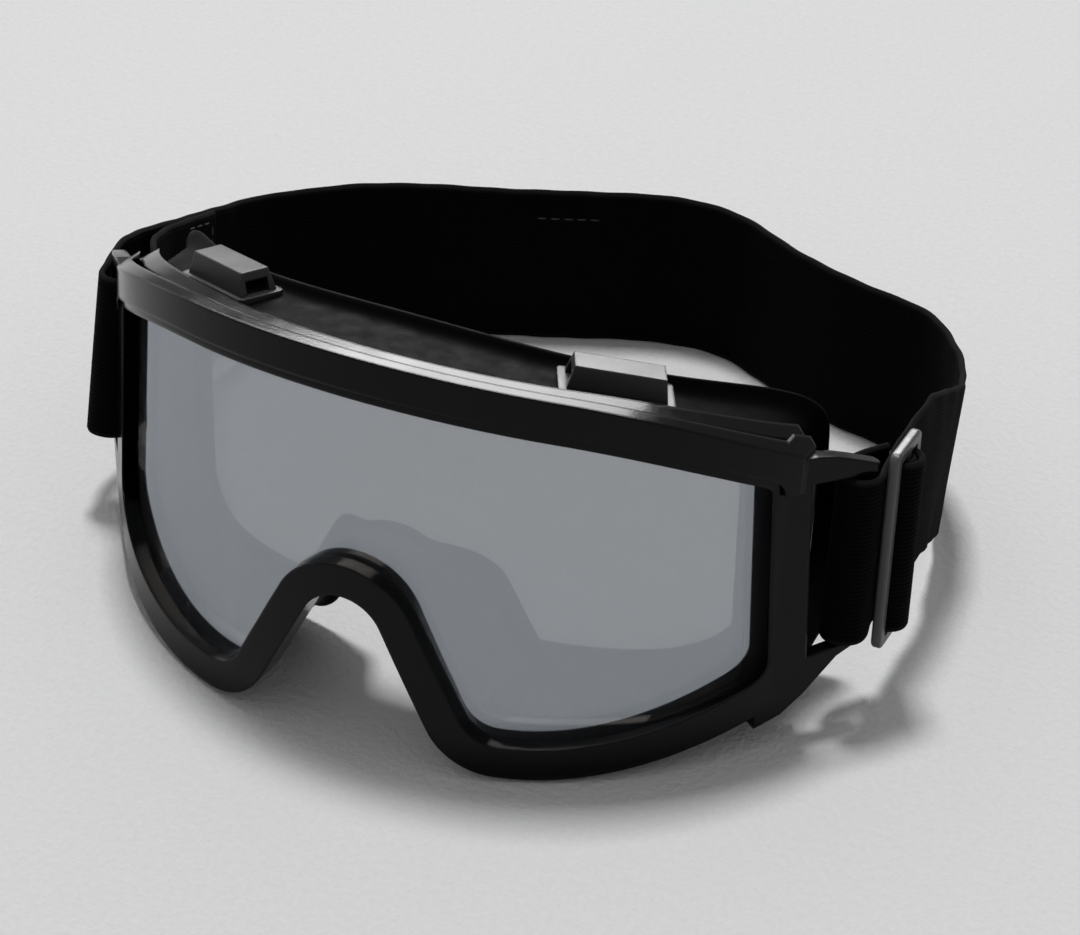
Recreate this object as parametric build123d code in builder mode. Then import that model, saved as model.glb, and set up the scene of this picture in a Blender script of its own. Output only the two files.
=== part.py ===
"""Sports protective goggles: wrap-round rim, smoke lens, soft face skirt, vents and elastic strap.

Frame: the lens faces -Y, +X is to the right when looking at the lens, +Z is up. The goggles stand
on the floor at z = 0 on the rim's lower edge and the strap; the origin is on the floor under the
middle of the whole object. Sizes are in millimetres. The rim leans back a little: its own axes are
x across, y to the rear from the middle of the lens and v up along the rim.
"""
from build123d import *
from math import acos, atan2, cos, radians, sin, tan
import os

# ---------------------------------------------------------------- driving dimensions
ORIGIN_X = -0.45         # places the whole object so that the origin is under its middle
ORIGIN_Y = -82.24
LEAN = 5.0              # the rim leans back by this many degrees
REF_HEIGHT = 41.95      # height of the rim's own origin above the floor

LENS_R = 87.5           # outer face of the cylindrical lens
LENS_T = 1.6
LIP_DEPTH = 3.6         # the rim's lip stands this far in front of the lens
BROW_DEPTH = 4.6        # the brow band stands a little further out
RIM_BACK = 4.2          # material behind the lens face
RIM_HALF = 79.4         # half width of the rim without its outriggers

WINDOW_TOP = 39.6       # the top edges are a wide arc that runs into a tighter one each side
WINDOW_SHOULDER = (40.0, 36.7)
WINDOW_CORNER = (75.0, 23.0)
BROW_TOP = 47.8
BROW_SHOULDER = (40.0, 44.9)
BROW_CORNER = (78.1, 28.4)
SIDE_FOOT = (76.9, -22.0)       # lower half of the window, at the lip
CHEEK = (54.5, -32.8)
INNER_FOOT = (26.6, -34.5)
NOSE_R = 15.1
NOSE_TOP = -0.3
BEVEL = 1.3             # the window narrows by this much from the lip to the lens
LIP_W = 5.7             # width of the lip round the window
LENS_EDGE = 2.0         # how far the lens runs into its groove
LEDGE_W = 3.0           # rounded ledge along the top of the brow
CHANNEL_W = 2.2         # channel behind the ledge, then a second ridge
CHANNEL_DEEP = 4.2
RIDGE_STEP = 1.8
CHANNEL_END = 4.0       # the channel stops this far from each corner of the brow

ARM_ANGLE = 52.0        # direction of the outriggers in plan
ARM_X = 76.8            # where their outer face leaves the rim
ARM_Y = 38.3
ARM_L = 19.6
ARM_T = 3.0
ARM_OUTLINE = ((-4.0, -33.6), (2.0, -31.4), (6.9, -27.4), (13.8, -20.1), (18.6, -17.6),
               (ARM_L, -15.8), (ARM_L, 23.2), (12.5, 25.6), (8.9, 26.7), (4.6, 27.4), (-4.0, 27.6))
SLOT_IN_TOP = 3.8       # inner edge of the strap slot, along the outrigger
SLOT_IN_BOTTOM = 6.8
SLOT_OUT = 16.4
SLOT_BOTTOM = -17.4
SLOT_DIP = 1.6          # the slot is this much lower at its inner end
SLOT_TOP = 21.4
REAR_HALF = 69.5        # half width of the rim's rear opening, behind the lens
REAR_BOTTOM = -31.0

SKIRT_WALL = 2.0
SKIRT_SIDE = 3.1        # the skirt's top lies this far inside the rim's edge
SKIRT_BOTTOM = -33.0    # lower face of the skirt, well above the rim's lower edge
FLANGE_T = 1.8
FLANGE_OUT = 2.2        # the sealing lip stands out past the skirt
FLANGE_IN = 5.0         # and turns in over the face opening
SKIRT_HALF = 72.4       # half width of the skirt
SKIRT_CORNER = 12.0
TEMPLE_FLARE = ((72.0, 24.0), (78.8, -2.0), (72.0, -28.0))     # the lip bows out at the temples
NOSE_BACK = 21.0        # the nose bridge of the skirt ends this far behind the lens
NOSE_HALF = 9.0
NOSE_V = 12.0

CAP_L = 20.0
CAP_W = 8.4
CAP_H = 4.6
CAP_WALL = 1.2
BASE_T = 1.0
BASE_SINK = 3.0         # the base reaches down to the skirt's curved wall
TOP_CAP = (42.6, 25.6)  # middle of the upper vents in plan
TOP_CAP_V = 38.9        # height of their base on the rim
TOP_CAP_TURN = 28.0
TOP_CAP_ROLL = 8.0
LOW_CAP = (45.0, 27.6)
LOW_CAP_V = -33.0
LOW_CAP_TURN = 28.0
LOW_CAP_ROLL = 0.0

STRAP_T = 1.4
SPLIT_Y = 108.0         # the rear band starts here on both sides
PLAY = 0.3
# side views of the webbing: distance to the rear and height of each edge
RIGHT_TOP = ((40.0, 58.5), (88.0, 58.0), (100.0, 52.4), (112.0, 46.4), (122.0, 43.2), (136.0, 41.0),
             (150.0, 40.0), (180.0, 40.0))
RIGHT_BOTTOM = ((40.0, 20.5), (58.0, 20.2), (63.0, 18.4), (88.0, 18.0), (100.0, 12.4), (112.0, 6.4),
                (120.0, 3.4), (132.0, 1.0), (146.0, 0.0), (180.0, 0.0))
LEFT_TOP = ((40.0, 58.5), (56.0, 58.3), (66.0, 56.5), (80.0, 52.4), (90.0, 50.0), (102.0, 46.4),
            (112.0, 43.2), (122.0, 40.8), (132.0, 40.0), (180.0, 40.0))
LEFT_BOTTOM = ((40.0, 20.5), (56.0, 20.2), (66.0, 16.5), (80.0, 12.4), (90.0, 10.0), (102.0, 6.4),
               (112.0, 3.2), (122.0, 0.8), (132.0, 0.0), (180.0, 0.0))

SLIDER_TILT = 2.5       # the slider dips a little to the rear
SLIDER_TOE = -1.4       # and close in a little
SLIDER_X = 90.7         # middle of the slider's frame
SLIDER_Y = 62.2
SLIDER_Z = 38.8
SLIDER_BAR = 2.4
SLIDER_T = 2.2
SLIDER_L = 14.2
SLIDER_H = 46.0
MIDDLE_BAR = 2.0
FOLD_R = 2.8            # inner radius of the webbing over the middle bar
WRAP_REACH = 1.5        # inner side of the webbing sewn round the middle bar

# ---------------------------------------------------------------- reference planes
UP = (0, sin(radians(LEAN)), cos(radians(LEAN)))
BACK = (0, cos(radians(LEAN)), -sin(radians(LEAN)))
ORIGIN = (ORIGIN_X, ORIGIN_Y, REF_HEIGHT)
rim_plan = Plane(origin=ORIGIN, x_dir=(1, 0, 0), z_dir=UP)
rim_front = Plane(origin=ORIGIN, x_dir=(1, 0, 0), z_dir=(0, -BACK[1], -BACK[2]))
floor_plan = Plane(origin=(ORIGIN_X, ORIGIN_Y, 0))
side_view = Plane(origin=(ORIGIN_X, ORIGIN_Y, 0), x_dir=(0, 1, 0), z_dir=(1, 0, 0))
TALL = 140.0            # longer than any piece, for cuts and extrusions that go right through


def top_edge(top, shoulder, corner):
    """A top edge that falls towards both sides. Used inside a line builder."""
    drop = top - shoulder[1]
    radius = (shoulder[0] ** 2 + drop ** 2) / (2 * drop)
    for side in (-1, 1):
        TangentArc((side * shoulder[0], shoulder[1]), (side * corner[0], corner[1]),
                   tangent=(side * (radius - drop), -shoulder[0]))
    ThreePointArc((-shoulder[0], shoulder[1]), (0, top), shoulder)


def both_sides(half):
    """A half outline and its mirror image, from the far left to the far right."""
    return [(-x, v) for x, v in reversed(half[1:])] + half


def nose_foot():
    """Point where the straight line from the inner foot meets the nose arch."""
    reach = Vector(INNER_FOOT[0], INNER_FOOT[1] - (NOSE_TOP - NOSE_R))
    turn = atan2(reach.Y, reach.X) + acos(NOSE_R / reach.length)
    return (NOSE_R * cos(turn), NOSE_TOP - NOSE_R + NOSE_R * sin(turn))


def window_outline(grow):
    """The window seen from the front, grown all round. Used inside a sketch."""
    nose = nose_foot()
    with BuildSketch(Plane.XY) as outline:
        with BuildLine():
            top_edge(WINDOW_TOP, WINDOW_SHOULDER, WINDOW_CORNER)
            for side in (-1, 1):
                Line((side * WINDOW_CORNER[0], WINDOW_CORNER[1]), (side * SIDE_FOOT[0], SIDE_FOOT[1]))
                ThreePointArc((side * SIDE_FOOT[0], SIDE_FOOT[1]), (side * CHEEK[0], CHEEK[1]),
                              (side * INNER_FOOT[0], INNER_FOOT[1]))
                Line((side * INNER_FOOT[0], INNER_FOOT[1]), (side * nose[0], nose[1]))
            ThreePointArc((-nose[0], nose[1]), (0, NOSE_TOP), nose)
        make_face()
        for corner_x, radius in ((INNER_FOOT[0], 10.5), (SIDE_FOOT[0], 8.0), (WINDOW_CORNER[0], 3.5)):
            corners = outline.vertices().filter_by(lambda p: abs(abs(p.X) - corner_x) < 0.2)
            fillet(corners, radius)
        if grow:
            offset(amount=grow, kind=Kind.ARC)
    return outline.sketch_local


def plan_ring(front, rear, half_angle=64.0):
    """Plan of a curved band that follows the lens, between two distances from its outer face."""
    with BuildSketch(Plane.XY) as band:
        with BuildLine():
            for radius in (LENS_R + front, LENS_R - rear):
                CenterArc((0, LENS_R), radius, -90 - half_angle, 2 * half_angle)
            for side in (-1, 1):
                turn = radians(-90 + side * half_angle)
                Line(((LENS_R + front) * cos(turn), LENS_R + (LENS_R + front) * sin(turn)),
                     ((LENS_R - rear) * cos(turn), LENS_R + (LENS_R - rear) * sin(turn)))
        make_face()
    return band.sketch_local


def brow_outline(step, reach=0.0):
    """Everything under the brow's top edge, lowered by step, down to the middle of the rim."""
    corner = (BROW_CORNER[0], BROW_CORNER[1] - step)
    with BuildSketch(Plane.XY) as outline:
        with BuildLine():
            top_edge(BROW_TOP - step, (BROW_SHOULDER[0], BROW_SHOULDER[1] - step), corner)
            Line(corner, (corner[0], reach))
            Line((corner[0], reach), (-corner[0], reach))
            Line((-corner[0], reach), (-corner[0], corner[1]))
        make_face()
    return outline.sketch_local


# ---------------------------------------------------------------- rim with its two outriggers
with BuildPart() as brow_part:
    with BuildSketch(rim_plan.offset(-TALL / 2)):
        add(plan_ring(BROW_DEPTH, RIM_BACK, 61.0))
    extrude(amount=TALL)
    with BuildSketch(rim_front.offset(-TALL / 2)):
        add(brow_outline(0, 20.0))
        add(window_outline(0.8), mode=Mode.SUBTRACT)
    extrude(amount=TALL, mode=Mode.INTERSECT)

with BuildPart() as brow_channel:
    with BuildSketch(rim_plan.offset(-TALL / 2)):
        add(plan_ring(BROW_DEPTH - LEDGE_W, LEDGE_W + CHANNEL_W - BROW_DEPTH, 70.0))
    extrude(amount=TALL)
    with BuildSketch(rim_front.offset(-TALL / 2)):
        Rectangle(2 * TALL, 2 * TALL)
        add(brow_outline(CHANNEL_DEEP, -TALL), mode=Mode.SUBTRACT)
        for side in (-1, 1):
            with Locations((side * (BROW_CORNER[0] + TALL / 2 - CHANNEL_END), 0)):
                Rectangle(TALL, 2 * TALL, mode=Mode.SUBTRACT)
    extrude(amount=TALL, mode=Mode.INTERSECT)

with BuildPart() as ridge_trim:
    with BuildSketch(rim_plan.offset(-TALL / 2)):
        add(plan_ring(BROW_DEPTH - LEDGE_W - CHANNEL_W + 0.4, 12.0, 70.0))
    extrude(amount=TALL)
    with BuildSketch(rim_front.offset(-TALL / 2)):
        Rectangle(2 * TALL, 2 * TALL)
        add(brow_outline(RIDGE_STEP, -TALL), mode=Mode.SUBTRACT)
    extrude(amount=TALL, mode=Mode.INTERSECT)


def outrigger_plane(side):
    """Plane on the outer face of an outrigger: x runs out along it and y runs up the rim."""
    turn = radians(ARM_ANGLE)
    start = rim_plan.from_local_coords(Vector(side * ARM_X, ARM_Y, 0))
    tip = rim_plan.from_local_coords(Vector(side * (ARM_X + cos(turn)), ARM_Y + sin(turn), 0))
    along = tip - start
    return Plane(origin=start, x_dir=along, z_dir=along.cross(Vector(*UP)))


with BuildPart() as right_arm:
    with BuildSketch(outrigger_plane(1)):
        with BuildLine():
            Polyline(*ARM_OUTLINE, close=True)
        make_face()
        with BuildLine():
            Polyline((SLOT_IN_BOTTOM, SLOT_BOTTOM - SLOT_DIP), (SLOT_OUT, SLOT_BOTTOM),
                     (SLOT_OUT, SLOT_TOP), (SLOT_IN_TOP, SLOT_TOP), close=True)
        make_face(mode=Mode.SUBTRACT)
    extrude(amount=-ARM_T)
    tall_edges = right_arm.edges().filter_by(lambda e: e.length > 35)
    fillet(tall_edges.sort_by(Axis.X)[-4:], 1.4)

with BuildPart() as left_arm:
    add(right_arm.part)
    mirror(about=Plane.YZ.offset(ORIGIN_X), mode=Mode.REPLACE)

with BuildPart() as lens_seat:
    with BuildSketch(rim_plan.offset(-TALL / 2)):
        add(plan_ring(0, LENS_T, 63.0))
    extrude(amount=TALL)
    with BuildSketch(rim_front.offset(-TALL / 2)):
        add(window_outline(LENS_EDGE - BEVEL + 0.05))
    extrude(amount=TALL, mode=Mode.INTERSECT)

with BuildPart() as front_opening:
    with BuildSketch(rim_plan.offset(-TALL / 2)):
        add(plan_ring(BROW_DEPTH + 6.0, LENS_T, 70.0))
    extrude(amount=TALL)
    with BuildSketch(rim_front.offset(-TALL / 2)):
        add(window_outline(-BEVEL))
    extrude(amount=TALL, mode=Mode.INTERSECT)

with BuildPart() as front_frame:
    with BuildSketch(rim_plan.offset(-TALL / 2)):
        add(plan_ring(LIP_DEPTH, RIM_BACK, 61.0))
    extrude(amount=TALL)
    with BuildSketch(rim_front.offset(-TALL / 2)):
        add(window_outline(LIP_W))
        Rectangle(2 * RIM_HALF, 2 * TALL, mode=Mode.INTERSECT)
    extrude(amount=TALL, mode=Mode.INTERSECT)
    add(brow_part.part)
    add(brow_channel.part, mode=Mode.SUBTRACT)
    add(ridge_trim.part, mode=Mode.SUBTRACT)
    add(right_arm.part)
    add(left_arm.part)
    add(front_opening.part, mode=Mode.SUBTRACT)
    with BuildSketch(rim_front.offset(-TALL / 2)):
        add(window_outline(-BEVEL))
        with Locations((0, REAR_BOTTOM + TALL)):
            Rectangle(2 * REAR_HALF, 2 * TALL, mode=Mode.INTERSECT)
    extrude(amount=TALL, mode=Mode.SUBTRACT)
    add(lens_seat.part, mode=Mode.SUBTRACT)

# ---------------------------------------------------------------- lens, held all round in the groove
with BuildPart() as lens:
    with BuildSketch(rim_plan.offset(-TALL / 2)):
        add(plan_ring(0, LENS_T, 63.0))
    extrude(amount=TALL)
    with BuildSketch(rim_front.offset(-TALL / 2)):
        add(window_outline(LENS_EDGE - BEVEL))
    extrude(amount=TALL, mode=Mode.INTERSECT)

# ---------------------------------------------------------------- soft skirt with its sealing lip
FACE_CURVE = ((0, 28.5), (18, 29.4), (34, 32.6), (48, 39.0), (60, 49.5), (68, 58.0), (76, 64.5),
              (80, 67.5))
face_plan = Plane(origin=ORIGIN, x_dir=(1, 0, 0), z_dir=(0, 0, 1))


def skirt_outline(grow):
    """The skirt seen from the front, grown all round."""
    with BuildSketch(Plane.XY) as outline:
        add(window_outline(LIP_W - SKIRT_SIDE + grow))
        with Locations((0, SKIRT_BOTTOM - grow + TALL)):
            Rectangle(2 * (SKIRT_HALF + grow), 2 * TALL, mode=Mode.INTERSECT)
        corners = outline.vertices().filter_by(lambda p: abs(p.X) > SKIRT_HALF + grow - 0.1)
        fillet(corners, SKIRT_CORNER + grow)
    return outline.sketch_local


def face_band(start, end):
    """Plan between two copies of the face curve, moved to the rear by start and by end."""
    with BuildSketch(Plane.XY) as band:
        with BuildLine():
            Spline(*both_sides([(x, y + start) for x, y in FACE_CURVE]))
            Spline(*both_sides([(x, y + end) for x, y in FACE_CURVE]))
            for side in (-1, 1):
                Line((side * FACE_CURVE[-1][0], FACE_CURVE[-1][1] + start),
                     (side * FACE_CURVE[-1][0], FACE_CURVE[-1][1] + end))
        make_face()
    return band.sketch_local


with BuildPart() as skirt_depth:
    with BuildSketch(face_plan.offset(-TALL / 2)):
        add(face_band(-TALL, 0))
    extrude(amount=TALL)

with BuildPart() as flange:
    with BuildSketch(face_plan.offset(-TALL / 2)):
        add(face_band(-FLANGE_T, 0))
    extrude(amount=TALL)
    with BuildSketch(rim_front.offset(-TALL / 2)):
        add(skirt_outline(FLANGE_OUT))
        for side in (-1, 1):
            with BuildLine():
                ThreePointArc(*[(side * x, v) for x, v in TEMPLE_FLARE])
                Line((side * TEMPLE_FLARE[2][0], TEMPLE_FLARE[2][1]),
                     (side * TEMPLE_FLARE[0][0], TEMPLE_FLARE[0][1]))
            make_face()
        add(skirt_outline(-SKIRT_WALL - FLANGE_IN), mode=Mode.SUBTRACT)
    extrude(amount=TALL, mode=Mode.INTERSECT)

with BuildPart() as skirt_core:
    with BuildSketch(rim_front.offset(-TALL / 2)):
        add(skirt_outline(0))
    extrude(amount=TALL)

with BuildPart() as face_skirt:
    with BuildSketch(rim_front.offset(-TALL / 2)):
        add(skirt_outline(0))
        add(skirt_outline(-SKIRT_WALL), mode=Mode.SUBTRACT)
    extrude(amount=TALL)
    add(skirt_depth.part, mode=Mode.INTERSECT)
    with BuildSketch(rim_plan.offset(-TALL / 2)):
        with BuildLine():
            CenterArc((0, LENS_R), LENS_R - RIM_BACK, -180, 180)
            Line((-LENS_R + RIM_BACK, LENS_R), (LENS_R - RIM_BACK, LENS_R))
        make_face()
    extrude(amount=TALL, mode=Mode.INTERSECT)
    add(flange.part)
    with BuildSketch(rim_plan.offset(-TALL / 2)):
        with Locations((0, NOSE_BACK + TALL / 2)):
            Rectangle(2 * NOSE_HALF, TALL)
    extrude(amount=TALL / 2 + NOSE_V, mode=Mode.SUBTRACT)

# ---------------------------------------------------------------- four hooded vents on the skirt


def vent_plane(side, upper):
    """Plane under a vent, on the skirt's wall: x along the vent, z away from the wall."""
    x, y = TOP_CAP if upper else LOW_CAP
    turn = TOP_CAP_TURN if upper else LOW_CAP_TURN
    roll = TOP_CAP_ROLL if upper else LOW_CAP_ROLL
    height = TOP_CAP_V if upper else LOW_CAP_V
    along = Vector(cos(radians(turn)), sin(radians(turn)), -tan(radians(roll)) * (1 if upper else -1))
    outward = Vector(0, 0, 1 if upper else -1)
    outward = outward - along * (outward.dot(along) / along.dot(along))
    centre = rim_plan.from_local_coords(Vector(side * x, y, height))
    ahead = rim_plan.from_local_coords(Vector(side * (x + along.X), y + along.Y, height + along.Z))
    above = rim_plan.from_local_coords(Vector(side * (x + outward.X), y + outward.Y, height + outward.Z))
    return Plane(origin=centre, x_dir=ahead - centre, z_dir=above - centre)


def vent_pieces(side, upper):
    """The base plate and the hooded cap of one vent."""
    seat = vent_plane(side, upper)
    with BuildPart() as base:
        with BuildSketch(seat.offset(-BASE_SINK)):
            RectangleRounded(CAP_L + 3.0, CAP_W + 2.0, 1.2)
        extrude(amount=BASE_SINK + BASE_T)
        add(skirt_core.part, mode=Mode.SUBTRACT)
        add(face_skirt.part, mode=Mode.SUBTRACT)
        add(front_frame.part, mode=Mode.SUBTRACT)
    with BuildPart() as cap:
        with BuildSketch(seat.offset(BASE_T)):
            Rectangle(CAP_L, CAP_W)
        with BuildSketch(seat.offset(BASE_T + CAP_H)):
            Rectangle(CAP_L - 2.0, CAP_W - 2.2)
        loft()
        with BuildSketch(seat.offset(BASE_T)):
            Rectangle(CAP_L - 2 * CAP_WALL, CAP_W - 2 * CAP_WALL)
        with BuildSketch(seat.offset(BASE_T + CAP_H - CAP_WALL)):
            Rectangle(CAP_L - 1.4 - 2 * CAP_WALL, CAP_W - 1.6 - 2 * CAP_WALL)
        loft(mode=Mode.SUBTRACT)
        with BuildSketch(seat.offset(BASE_T)):
            with Locations((-CAP_L / 2, 0)):
                Rectangle(CAP_L * 0.3, CAP_W * 0.62)
        extrude(amount=CAP_H * 0.6, mode=Mode.SUBTRACT)
        add(face_skirt.part, mode=Mode.SUBTRACT)
        add(front_frame.part, mode=Mode.SUBTRACT)
    return base, cap


vent_base_top_left, vent_cap_top_left = vent_pieces(-1, True)
vent_base_top_right, vent_cap_top_right = vent_pieces(1, True)
vent_base_bottom_left, vent_cap_bottom_left = vent_pieces(-1, False)
vent_base_bottom_right, vent_cap_bottom_right = vent_pieces(1, False)

# ---------------------------------------------------------------- elastic head strap
# plan of the middle of the webbing: a loose turn round each end bar, then along the head
RIGHT_LOOP = ((80.7, 53.0), (84.95, 48.75), (89.2, 53.0))
RIGHT_LIMB = ((89.2, 53.0), (88.55, 56.6), (88.0, 61.0), (87.5, 70.0), (87.1, 84.0), (86.7, 98.0),
              (86.2, 112.0))
RIGHT_RETURN = ((80.7, 53.0), (81.3, 57.0), (83.4, 61.0), (86.0, 64.6))
LEFT_LOOP = ((-81.5, 50.0), (-84.95, 46.55), (-88.4, 50.0))
LEFT_LIMB = ((-88.4, 50.0), (-90.0, 55.2), (-91.7, 62.5), (-93.3, 77.0), (-92.7, 91.0), (-92.6, 102.0),
             (-92.4, 112.0))
LEFT_RETURN = ((-81.5, 50.0), (-81.7, 56.0), (-82.9, 62.4), (-84.8, 68.4), (-86.4, 75.0),
               (-87.2, 84.0), (-89.6, 94.5), (-91.1, 101.6))
REAR_BAND = ((86.5, 104.0), (85.6, 112.0), (82.0, 122.6), (74.0, 137.4), (66.0, 145.6), (53.0, 150.2),
             (39.7, 153.6), (24.8, 160.0), (16.7, 164.2), (8.8, 167.4), (0.0, 168.2), (-9.7, 166.3),
             (-31.0, 157.4), (-53.0, 148.4), (-69.0, 141.3), (-82.6, 130.8), (-90.9, 119.0), (-92.4, 104.0))


def webbing(points, leave=None):
    """Plan of a strip of webbing whose middle runs through the points, setting out along leave."""
    middle = [Vector(*point) for point in points]
    last = len(middle) - 1
    headings = [middle[min(i + 1, last)] - middle[max(i - 1, 0)] for i in range(last + 1)]
    if leave:
        headings[0] = Vector(*leave)
    faces = []
    for half in (STRAP_T / 2, -STRAP_T / 2):
        faces.append([point + Vector(-heading.Y, heading.X).normalized() * half
                      for point, heading in zip(middle, headings)])
    with BuildSketch(Plane.XY) as strip:
        with BuildLine():
            for face in faces:
                if leave:
                    Spline(*face, tangents=(headings[0].normalized(), headings[-1].normalized()))
                else:
                    Spline(*face)
            Line(faces[0][0], faces[1][0])
            Line(faces[0][-1], faces[1][-1])
        make_face()
    return strip.sketch_local


def loop(start, front, end):
    """Plan of the webbing where it turns round an end bar."""
    with BuildSketch(Plane.XY) as strip:
        with BuildLine() as path:
            ThreePointArc(start, front, end)
        trace(path.line, STRAP_T)
    return strip.sketch_local


def side_outline(top, bottom, start, end):
    """Side view of the webbing between two distances to the rear. Used inside a sketch."""
    with BuildSketch(Plane.XY) as outline:
        with BuildLine():
            Polyline(*top, *reversed(bottom), close=True)
        make_face()
        with Locations(((start + end) / 2, 0)):
            Rectangle(end - start, 2 * TALL, mode=Mode.INTERSECT)
    return outline.sketch_local


def limb(plans, top, bottom, end=SPLIT_Y - PLAY):
    """Webbing beside the head, from its plans and the side view of its edges."""
    with BuildPart() as piece:
        with BuildSketch(rim_plan):
            for plan in plans:
                add(plan)
        extrude(amount=TALL / 2, both=True)
        with BuildSketch(side_view.offset(-TALL)):
            add(side_outline(top, bottom, 40.0, end))
        extrude(amount=2 * TALL, mode=Mode.INTERSECT)
    return piece


strap_right_limb = limb((loop(*RIGHT_LOOP), webbing(RIGHT_LIMB, (0, 1))), RIGHT_TOP, RIGHT_BOTTOM)
strap_left_limb = limb((loop(*LEFT_LOOP), webbing(LEFT_LIMB, (0, 1))), LEFT_TOP, LEFT_BOTTOM)
strap_right_return = limb((webbing(RIGHT_RETURN, (0, 1)),), RIGHT_TOP, RIGHT_BOTTOM, 64.0)
strap_left_return = limb((webbing(LEFT_RETURN, (0, 1)),), LEFT_TOP, LEFT_BOTTOM)

with BuildPart() as band_height:
    with BuildSketch(side_view):
        add(side_outline(RIGHT_TOP, RIGHT_BOTTOM, SPLIT_Y, 180.0))
    extrude(amount=TALL)
    with BuildSketch(side_view.offset(-TALL)):
        add(side_outline(LEFT_TOP, LEFT_BOTTOM, SPLIT_Y, 180.0))
    extrude(amount=TALL)

with BuildPart() as strap_rear_band:
    with BuildSketch(floor_plan):
        add(webbing(REAR_BAND))
    extrude(amount=TALL / 2, both=True)
    add(band_height.part, mode=Mode.INTERSECT)

# ---------------------------------------------------------------- slider on the right limb
down = Vector(sin(radians(SLIDER_TOE)), cos(radians(SLIDER_TILT)), -sin(radians(SLIDER_TILT)))
slider_face = Plane(origin=(ORIGIN_X + SLIDER_X, ORIGIN_Y + SLIDER_Y, SLIDER_Z), x_dir=down, z_dir=(1, -down.X, 0))
slider_plan = Plane(origin=slider_face.origin, x_dir=down, z_dir=slider_face.y_dir)

with BuildPart() as strap_slider:
    with BuildSketch(slider_face.offset(-SLIDER_T / 2)):
        RectangleRounded(SLIDER_L, SLIDER_H, 2.2)
        for side in (-1, 1):
            with Locations((side * (SLIDER_L / 2 - SLIDER_BAR + MIDDLE_BAR / 2) / 2, 0)):
                RectangleRounded(SLIDER_L / 2 - SLIDER_BAR - MIDDLE_BAR / 2, SLIDER_H - 2 * SLIDER_BAR, 0.8,
                                 mode=Mode.SUBTRACT)
    extrude(amount=SLIDER_T)
    outer = strap_slider.faces().filter_by(GeomType.PLANE).sort_by(Axis.X)
    fillet(outer[-1].outer_wire().edges() + outer[0].outer_wire().edges(), 0.7)

with BuildPart() as strap_end_wrap:
    with BuildSketch(slider_plan.offset(-19.6)):
        Circle(FOLD_R)
        with Locations((0, WRAP_REACH - FOLD_R)):
            Rectangle(3 * FOLD_R, 2 * FOLD_R, mode=Mode.INTERSECT)
    extrude(amount=39.2)
    add(strap_slider.part, mode=Mode.SUBTRACT)

with BuildPart() as strap_fold:
    with BuildSketch(slider_plan.offset(-20.0)):
        with BuildLine() as over:
            CenterArc((0, 0), FOLD_R + STRAP_T / 2, 180, 180)
        trace(over.line, STRAP_T)
    extrude(amount=40.0)

# ---------------------------------------------------------------- one file for each piece
os.makedirs("parts", exist_ok=True)
front_frame.part.label = "front_frame"
lens.part.label = "lens"
face_skirt.part.label = "face_skirt"
vent_base_top_left.part.label = "vent_base_top_left"
vent_cap_top_left.part.label = "vent_cap_top_left"
vent_base_top_right.part.label = "vent_base_top_right"
vent_cap_top_right.part.label = "vent_cap_top_right"
vent_base_bottom_left.part.label = "vent_base_bottom_left"
vent_cap_bottom_left.part.label = "vent_cap_bottom_left"
vent_base_bottom_right.part.label = "vent_base_bottom_right"
vent_cap_bottom_right.part.label = "vent_cap_bottom_right"
strap_slider.part.label = "strap_slider"
strap_end_wrap.part.label = "strap_end_wrap"
strap_fold.part.label = "strap_fold"
strap_right_limb.part.label = "strap_right_limb"
strap_right_return.part.label = "strap_right_return"
strap_left_limb.part.label = "strap_left_limb"
strap_left_return.part.label = "strap_left_return"
strap_rear_band.part.label = "strap_rear_band"
export_step(front_frame.part, "parts/front_frame.step")
export_step(lens.part, "parts/lens.step")
export_step(face_skirt.part, "parts/face_skirt.step")
export_step(vent_base_top_left.part, "parts/vent_base_top_left.step")
export_step(vent_cap_top_left.part, "parts/vent_cap_top_left.step")
export_step(vent_base_top_right.part, "parts/vent_base_top_right.step")
export_step(vent_cap_top_right.part, "parts/vent_cap_top_right.step")
export_step(vent_base_bottom_left.part, "parts/vent_base_bottom_left.step")
export_step(vent_cap_bottom_left.part, "parts/vent_cap_bottom_left.step")
export_step(vent_base_bottom_right.part, "parts/vent_base_bottom_right.step")
export_step(vent_cap_bottom_right.part, "parts/vent_cap_bottom_right.step")
export_step(strap_slider.part, "parts/strap_slider.step")
export_step(strap_end_wrap.part, "parts/strap_end_wrap.step")
export_step(strap_fold.part, "parts/strap_fold.step")
export_step(strap_right_limb.part, "parts/strap_right_limb.step")
export_step(strap_right_return.part, "parts/strap_right_return.step")
export_step(strap_left_limb.part, "parts/strap_left_limb.step")
export_step(strap_left_return.part, "parts/strap_left_return.step")
export_step(strap_rear_band.part, "parts/strap_rear_band.step")
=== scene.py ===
"""Looks of the sports protective goggles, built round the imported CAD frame.

Lengths in this script are millimetres until a mesh is made; Blender gets metres. The rim's own axes
are x across, y to the rear from the middle of the lens, and v up along the leaning rim.
"""

import bpy
import numpy as np
from math import cos, pi, radians, sin, sqrt
from mathutils import Matrix, Vector

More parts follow.
